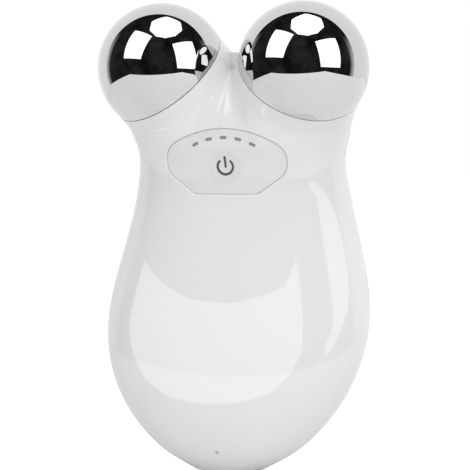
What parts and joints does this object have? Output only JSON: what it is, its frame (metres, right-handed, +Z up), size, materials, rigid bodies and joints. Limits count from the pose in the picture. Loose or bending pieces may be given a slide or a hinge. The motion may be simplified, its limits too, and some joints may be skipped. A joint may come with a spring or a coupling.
{
  "type": "facial toning device",
  "caption": "Hand-held facial toning device with two chrome spheres on short arms, a pear-shaped handle and a power button.",
  "frame": {"origin": "centre of the rubber foot's underside", "axes": "+Z up along the handle, +X to the viewer's right when looking at the control panel, which faces -Y"},
  "size_m": [0.0658, 0.0409, 0.1115],
  "materials": {
    "white_abs": "high gloss moulded ABS",
    "white_panel": "gloss moulded ABS plate",
    "grey_ink": "inlaid dark grey",
    "smoked_pipe": "smoked acrylic",
    "black_plastic": "moulded",
    "led_white": "resin",
    "black_foam": "closed-cell foam",
    "chrome": "mirror chrome plating",
    "black_rubber": "moulded rubber",
    "grey_plastic": "moulded",
    "steel": "zinc-plated",
    "brass": "stamped",
    "red_lead": "PVC insulation",
    "black_lead": "PVC insulation",
    "board_green": "solder mask",
    "aluminium_can": "satin",
    "white_nylon": "moulded nylon",
    "cell_wrap": "laminated foil pouch",
    "clear_pipe": "clear acrylic"
  },
  "bodies": {
    "housing": {"front_shell": "white_abs", "rear_shell": "white_abs", "control_panel": "white_panel", "level_light_pipes": "smoked_pipe", "led_baffle": "black_plastic", "led_chips": "led_white", "panel_gasket": "black_foam", "left_sphere": "chrome", "right_sphere": "chrome", "left_seat_ring": "black_rubber", "right_seat_ring": "black_rubber", "left_carrier": "grey_plastic", "right_carrier": "grey_plastic", "sphere_screws": "steel", "electrode_terminals": "brass", "left_electrode_lead": "red_lead", "right_electrode_lead": "black_lead", "main_board": "board_green", "tact_switch": "black_plastic", "microcontroller": "black_plastic", "boost_coil": "black_plastic", "capacitors": "aluminium_can", "buzzer": "black_plastic", "connectors": "white_nylon", "board_screws": "steel", "battery_cell": "cell_wrap", "battery_tray": "grey_plastic", "battery_leads": "red_lead", "charge_board": "board_green", "charge_socket": "steel", "charge_tongue": "black_plastic", "charge_leads": "black_lead", "charge_indicator": "clear_pipe", "charge_led": "led_white", "base_foot": "black_rubber", "shell_screws": "steel", "screw_caps": "white_abs"},
    "power_button": {"power_button": "white_panel", "power_symbol": "grey_ink", "switch_stem": "grey_plastic"}
  },
  "joints": [
    {"name": "power_button_press", "type": "slide", "parent": "housing", "child": "power_button", "axis": [0, 0.9848, 0.1736], "range_m": [0, 0.00035], "stiffness_N_per_m": 3000, "springref_m": -0.0003}
  ]
}
